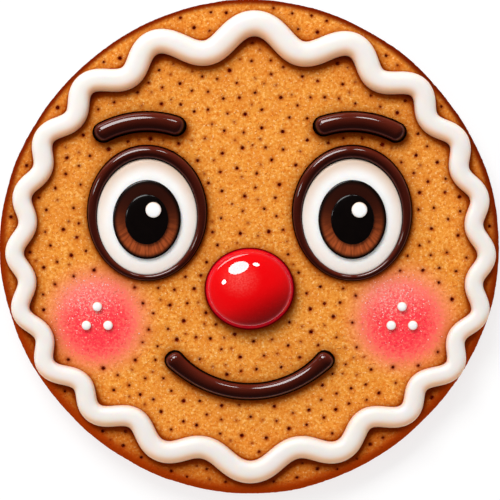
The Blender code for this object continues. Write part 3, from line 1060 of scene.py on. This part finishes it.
sugar_finish, tree, shader = start_material("sanding_sugar", 0.25, 0.5)
shade_of_sugar = grain(tree, 0.8 * MM, detail=1.0)
sugar_tone = lay_over(tree, shade_of_sugar, srgb(255, 170, 165), srgb(255, 238, 232))
scatter(shader, 0.3, (1.0, 0.7, 0.6), 0.3 * MM)
set_surface(tree, shader, sugar_tone, grain(tree, 0.08 * MM), 0.01 * MM, 0.3)
finish_piece(sugar_piece, sugar_finish, "white_icing")

# %% [markdown]
# ## The white border
#
# Royal icing, piped by hand in one wavy, slightly uneven line. Its section is a little
# more than a half round, because stiff icing holds its shape and tucks in at the foot.

# %% Pipe the border
BORDER_HEIGHT_SHARE = 0.63
BORDER_FULLNESS = 2.6
border_piece = piped("piped_border", border, BORDER_HEIGHT_SHARE, BORDER_FULLNESS, closed=True)

# %% [markdown]
# Dried royal icing is chalky white with a soft sheen. Light goes a little way into it
# and comes out warmer. Fat and syrup creep up into its foot from the bake. Its lower
# flank and its steep sides are painted a warm tan as painted shade, from each point's
# normal, so it follows every bend: how far the surface faces down the face, and how
# steep it is.

# %% The white icing's finish
ICING_PAINTED_SHADE = srgb(242, 194, 154)
FOOT_STAIN = srgb(252, 216, 180)
STEEP_SHADE_SHARE = 0.5
LEE = Vector((0.08, -1.0))
BORDER_LEE = (-0.04, 0.56)


def paint_lee(piece, reach):
    """Paints how far each point's surface faces down the face, and how steep it is."""
    normals = np.empty(len(piece.data.vertices) * 3, np.float32)
    piece.data.vertex_normals.foreach_get("vector", normals)
    level = normals.reshape(-1, 3)[:, :2]
    paint(piece, "lee", smooth_step(level @ np.array(LEE), *reach))
    paint(piece, "steep", np.hypot(*level.T))


paint_lee(border_piece, BORDER_LEE)
white_icing, tree, shader = start_material("white_royal_icing", 0.36, 0.45)
height = split(tree, object_place(tree))["Z"]
tone = layers(
    tree,
    srgb(236, 231, 226),
    (grain(tree, 3.0 * MM), srgb(242, 237, 233)),
    # Painted shade: a warm tan on the steep flanks and on the flank facing down the face.
    (ramp(tree, painted(tree, "steep"), 0.55, 0.98, 0.0, STEEP_SHADE_SHARE), ICING_PAINTED_SHADE),
    (painted(tree, "lee"), ICING_PAINTED_SHADE),
    (ramp(tree, height, TOP + 0.6 * MM, TOP, 0.0, 0.6), FOOT_STAIN),
)
scatter(shader, 0.5, (1.0, 0.6, 0.35), 1.6 * MM)
set_surface(tree, shader, tone, grain(tree, 0.5 * MM, detail=3.0), 0.02 * MM, 0.35)
finish_piece(border_piece, white_icing, "white_icing", "border")

# %% [markdown]
# ## Chocolate lines
#
# Brows, smile and eye rings are chocolate icing, thinner than the royal icing, so their
# section is rounder. The smile swells where the tip started and stopped. The icing is
# reddish brown above; painted shade makes it nearly black on its lower flank and at its
# steep foot, and a painted reflection draws one lighter line inside the lower edge, from
# the same kind of normals as the border's painted shade. The gloss is a thin coat that
# ends above the foot, where the icing dried against crumb.

# %% Pipe the chocolate lines
STROKE_HEIGHT_SHARE = 0.7
RING_HEIGHT_SHARE = 0.82
STROKE_FULLNESS = 2.1

smile = piped("piped_smile", mouth, STROKE_HEIGHT_SHARE, STROKE_FULLNESS, closed=False)
chocolate_pieces = {"mouth": smile}
for side, _ in SIDES:
    brow = piped(f"piped_brow_{side}", brows[side], STROKE_HEIGHT_SHARE, STROKE_FULLNESS, closed=False)
    chocolate_pieces[f"brow_{side}"] = brow
    ring = piped(f"piped_eye_ring_{side}", eye_rings[side], RING_HEIGHT_SHARE, STROKE_FULLNESS, closed=True)
    chocolate_pieces[f"eye_ring_{side}"] = ring

# %% The chocolate icing's finish
CHOCOLATE_LEE = (-0.75, 0.45)

chocolate, tree, shader = start_material("chocolate_icing", 0.24, 0.0)
lee, steep = painted(tree, "lee"), painted(tree, "steep")
line = calculate(tree, "MULTIPLY", ramp(tree, steep, 0.55, 0.7, 0.0, 0.8), lee)
tone = layers(
    tree,
    srgb(92, 29, 15),
    (grain(tree, 2.0 * MM), srgb(106, 36, 21)),
    # Painted shade on the flank facing down the face, a painted reflection line inside the lower edge, and
    # painted shade at the steep foot.
    (lee, srgb(36, 6, 3)),
    (line, srgb(88, 34, 26)),
    (ramp(tree, steep, 0.74, 0.86), srgb(8, 2, 1)),
)
tree.links.new(ramp(tree, steep, 0.9, 0.7, 0.0, 0.65), shader.inputs["Coat Weight"])
set_inputs(shader, {"Coat IOR": 1.8, "Coat Roughness": 0.07})
set_surface(tree, shader, tone, grain(tree, 1.2 * MM), 0.03 * MM, 0.25)
for node, piece in chocolate_pieces.items():
    paint_lee(piece, CHOCOLATE_LEE)
    finish_piece(piece, chocolate, "chocolate_icing", node)

# %% [markdown]
# ## Eyes
#
# Each eye is flooded: thin icing is run into the piped ring and levels into a low dome.
# The iris, the pupil and the white dot follow. All are the same turned drop at different
# sizes, and its foot reaches into what is below.

# %% Flood the eyes
SINK = 0.25 * MM
WHITE_SPREAD = 0.45 * MM
POOL_WAIST = 0.4


def drop_on(name, node, segments, bulge=2.6, spread=0.0):
    """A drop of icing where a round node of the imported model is, closing the gap under it."""
    low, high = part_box(node)
    middle, half = node_oval(node)
    waist = low.z + POOL_WAIST * (high.z - low.z)
    section = domed_section(low.z - GAP - SINK, waist, high.z, bulge)
    return turned(name, middle, (half.x + spread, half.y + spread), section, segments)


whites, irises, pupils, dots = {}, {}, {}, {}
for side, _ in SIDES:
    whites[f"eye_white_{side}"] = drop_on(f"flooded_eye_{side}", f"eye_white_{side}", 128, 3.2, WHITE_SPREAD)
    irises[f"iris_{side}"] = drop_on(f"flooded_iris_{side}", f"iris_{side}", 96)
    pupils[f"pupil_{side}"] = drop_on(f"flooded_pupil_{side}", f"pupil_{side}", 96)
    dots[f"glint_{side}"] = drop_on(f"dot_of_light_{side}", f"glint_{side}", 48)
    for number in (1, 2, 3):
        node = f"cheek_dot_{side}_{number}"
        dots[node] = drop_on(f"dot_on_cheek_{side}_{number}", node, 40, 2.0)

# %% [markdown]
# The white of the eye and the small dots are icing let down with water. Towards its edge,
# most on the upper side, it is painted a warm grey-tan as painted shade. The recipe reads
# Object coordinates centred on the piece and stretched, so that the edge is at 1.

# %% The finish of the eye whites and the dots
EYE_WHITE_TONE = srgb(254, 253, 251)
EYE_SHADE_TONE = srgb(226, 198, 176)


def centred_place(tree, node):
    """Object coordinates with the node's middle at 0 and its edge at 1: place, axes and distance."""
    middle, half = node_oval(node)
    place = object_place(tree, (1 / half.x, 1 / half.y, 0), (middle.x, middle.y, 0))
    return place, split(tree, place), distance_from(tree, place)


def eye_white_finish(node):
    made, tree, shader = start_material(f"flooded_icing_{node}", 0.3, 0.4)
    _, axes, out = centred_place(tree, node)
    cloud = grain(tree, 2.5 * MM)
    tone = lay_over(tree, ramp(tree, cloud, 0.3, 0.7, 0.0, 0.06), EYE_WHITE_TONE, EYE_SHADE_TONE)
    # Painted shade towards the edge, stronger on the upper side.
    high = ramp(tree, axes["Y"], -0.2, 0.9, 0.45, 1.0)
    eye_shade = calculate(tree, "MULTIPLY", ramp(tree, out, 0.72, 1.02), high)
    tone = lay_over(tree, eye_shade, tone, EYE_SHADE_TONE)
    scatter(shader, 0.3, (1.0, 0.75, 0.6), 1.0 * MM)
    set_surface(tree, shader, tone, cloud, 0.02 * MM, 0.3)
    return made


for node, piece in {**whites, **dots}.items():
    finish_piece(piece, eye_white_finish(node), "white_icing", node)

# %% [markdown]
# The iris has fine rays, darker above and at its rim, lighter below, as if it caught the
# light. The rays are noise read along the angle round the iris, from a few Math nodes.

# %% The iris's finish
IRIS_DARK = srgb(44, 14, 7)
IRIS_MID = srgb(104, 40, 16)
IRIS_LIGHT = srgb(176, 82, 38)
IRIS_RIM = srgb(14, 5, 3)
RAYS = 34.0


def iris_finish(node):
    made, tree, shader = start_material(f"brown_icing_{node}", 0.2, 0.15)
    _, axes, out = centred_place(tree, node)
    turn = calculate(tree, "ARCTAN2", axes["Y"], axes["X"])
    polar = tree.nodes.new("ShaderNodeCombineXYZ")
    tree.links.new(calculate(tree, "MULTIPLY", turn, RAYS / math.tau), polar.inputs["X"])
    tree.links.new(out, polar.inputs["Y"])
    rays = grain(tree, 0.45, place=polar.outputs["Vector"])
    tone = lay_over(tree, ramp(tree, axes["Y"], 0.7, -0.9), IRIS_DARK, IRIS_MID)
    low = ramp(tree, axes["Y"], 0.3, -0.9)
    bright = calculate(tree, "MULTIPLY", low, ramp(tree, rays, 0.35, 0.65, 0.35, 1.0))
    tone = lay_over(tree, bright, tone, IRIS_LIGHT)
    tone = lay_over(tree, ramp(tree, out, 0.84, 0.97), tone, IRIS_RIM)
    set_inputs(shader, {"Coat Weight": 0.3, "Coat Roughness": 0.06})
    set_surface(tree, shader, tone, rays, 0.03 * MM, 0.3)
    return made


for node, piece in irises.items():
    finish_piece(piece, iris_finish(node), "brown_icing", node)

# %% The pupil's finish
black_icing, tree, shader = start_material("black_icing", 0.18, 0.15)
cloud = grain(tree, 1.5 * MM)
tone = lay_over(tree, cloud, srgb(6, 3, 3), srgb(13, 7, 6))
set_inputs(shader, {"Coat Weight": 0.3, "Coat Roughness": 0.05})
set_surface(tree, shader, tone, cloud, 0.02 * MM, 0.3)
for node, piece in pupils.items():
    finish_piece(piece, black_icing, "black_icing", node)

# %% [markdown]
# ## The nose
#
# A hard red candy, turned like the drops, but with more steps, because its gloss shows
# every facet. Its colour holds painted light: bright at the upper left, towards the
# softbox, and deep red on the far side as painted shade, with a crimson painted rim light
# inside the edge and a dark line of painted shade where it meets the biscuit. A painted
# sheen, speckled like sugar, lies under the polish below the highlight.

# %% Turn the nose
NOSE_WAIST = 0.28
NOSE_STEPS = 48
NOSE_SEGMENTS = 224


def nose_section():
    low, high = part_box("nose")
    waist = low.z + NOSE_WAIST * (high.z - low.z)
    section = [(0.82, low.z - GAP - SINK), (0.87, low.z - 0.1 * MM)]
    for step in range(1, 8):
        turn = math.radians(90) * step / 8
        section.append((0.87 + 0.13 * math.sin(turn), low.z + (waist - low.z) * (1 - math.cos(turn))))
    for step in range(NOSE_STEPS):
        turn = math.radians(90) * step / NOSE_STEPS
        section.append((math.cos(turn), waist + (high.z - waist) * math.sin(turn)))
    section.append((0.02, high.z))
    return section


middle, half = node_oval("nose")
nose = turned("red_candy_nose", middle, half.xy, nose_section(), NOSE_SEGMENTS)

# %% The candy's finish
CANDY_PAINTED_LIT = srgb(242, 2, 8)
CANDY_PAINTED_SHADE = srgb(140, 1, 2)
CANDY_RIM_LIGHT = srgb(220, 14, 40)
CANDY_EDGE_SHADE = srgb(96, 2, 4)
CANDY_PAINTED_SHEEN = srgb(255, 120, 110)
SHEEN_MIDDLE = (-0.22, 0.24, 0.0)

red_candy, tree, shader = start_material("red_hard_candy", 0.2, 0.0)
place, axes, out = centred_place(tree, "nose")
far_side = calculate(tree, "MULTIPLY", axes["X"], 0.45)
far_side = calculate(tree, "SUBTRACT", far_side, calculate(tree, "MULTIPLY", axes["Y"], 0.8))
# Painted light and shade: bright towards the softbox, deep red on the far side.
tone = lay_over(tree, ramp(tree, far_side, 0.05, 0.8), CANDY_PAINTED_LIT, CANDY_PAINTED_SHADE)
sugar = grain(tree, 0.35 * MM, detail=3.0)
# A painted sheen below the highlight, speckled like sugar.
sheen = ramp(tree, distance_from(tree, place, SHEEN_MIDDLE), 0.54, 0.0, 0.0, 0.45)
sheen = calculate(tree, "MULTIPLY", sheen, ramp(tree, sugar, 0.35, 0.7, 0.3, 1.0))
tone = lay_over(tree, sheen, tone, CANDY_PAINTED_SHEEN)
tone = lay_over(tree, ramp(tree, sugar, 0.5, 0.72, 0.0, 0.09), tone, srgb(250, 40, 40))
# A painted rim light inside the edge, strongest on the far side.
inner = ramp(tree, out, 0.85, 0.91)
ring = calculate(tree, "MULTIPLY", inner, ramp(tree, far_side, -0.7, 0.6, 0.5, 1.0))
tone = lay_over(tree, ring, tone, CANDY_RIM_LIGHT)
# Painted shade: a dark line where the candy meets the biscuit.
tone = lay_over(tree, ramp(tree, out, 0.94, 0.985), tone, CANDY_EDGE_SHADE)
tree.links.new(tone, shader.inputs["Base Color"])
tree.links.new(ramp(tree, out, 0.96, 0.89), shader.inputs["Coat Weight"])
set_inputs(shader, {"Coat IOR": 1.92, "Coat Roughness": 0.03})
scatter(shader, 0.04, (1.0, 0.15, 0.1), 1.0 * MM)
finish_piece(nose, red_candy, "red_candy", "nose")
